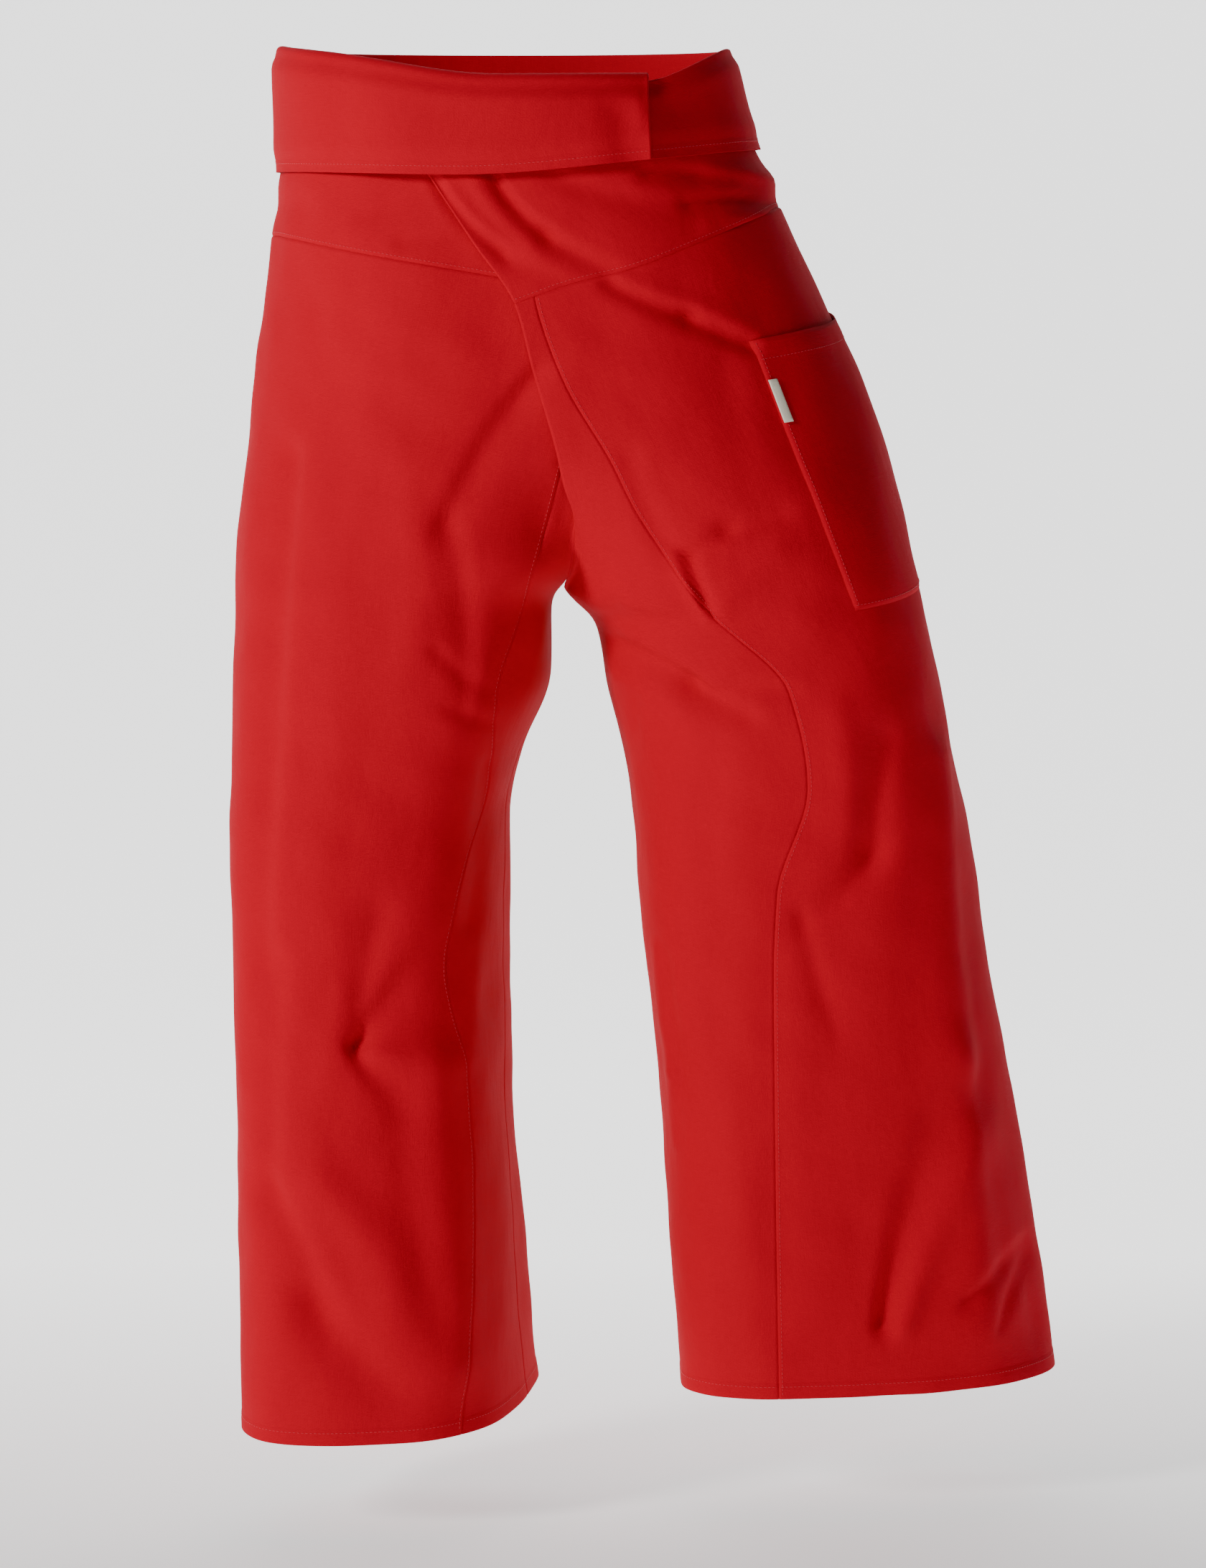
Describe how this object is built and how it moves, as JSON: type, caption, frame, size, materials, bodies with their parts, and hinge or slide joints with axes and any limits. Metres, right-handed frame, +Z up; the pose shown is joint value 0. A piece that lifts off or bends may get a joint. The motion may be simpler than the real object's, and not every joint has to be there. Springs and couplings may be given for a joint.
{
  "type": "fisherman pants",
  "caption": "Wide wrap trousers of red cotton, worn with the waist overlapped and folded down, with flat ties, wide straight legs and a patch pocket on one thigh.",
  "frame": {"origin": "middle of the waist at the height of the ties, where the garment is held", "axes": "+Z up through the waist opening, +X to the wearer's left, -Y to the wearer's front"},
  "size_m": [0.63, 0.2923, 1.0332],
  "materials": {
    "waistband": "matte plain-weave cotton",
    "leg_panel_right": "matte plain-weave cotton",
    "leg_panel_left": "matte plain-weave cotton",
    "inset_front_right": "matte plain-weave cotton",
    "inset_front_left": "matte plain-weave cotton",
    "inset_back_right": "matte plain-weave cotton",
    "inset_back_left": "matte plain-weave cotton",
    "pocket": "matte plain-weave cotton",
    "label": "blank woven tape",
    "tie_left": "matte plain-weave cotton",
    "tie_right": "matte plain-weave cotton"
  },
  "bodies": {
    "root": {"waistband": "waistband", "leg_panel_right": "leg_panel_right", "leg_panel_left": "leg_panel_left", "inset_front_right": "inset_front_right", "inset_front_left": "inset_front_left", "inset_back_right": "inset_back_right", "inset_back_left": "inset_back_left", "pocket": "pocket", "label": "label", "tie_left": "tie_left", "tie_right": "tie_right"}
  },
  "joints": []
}
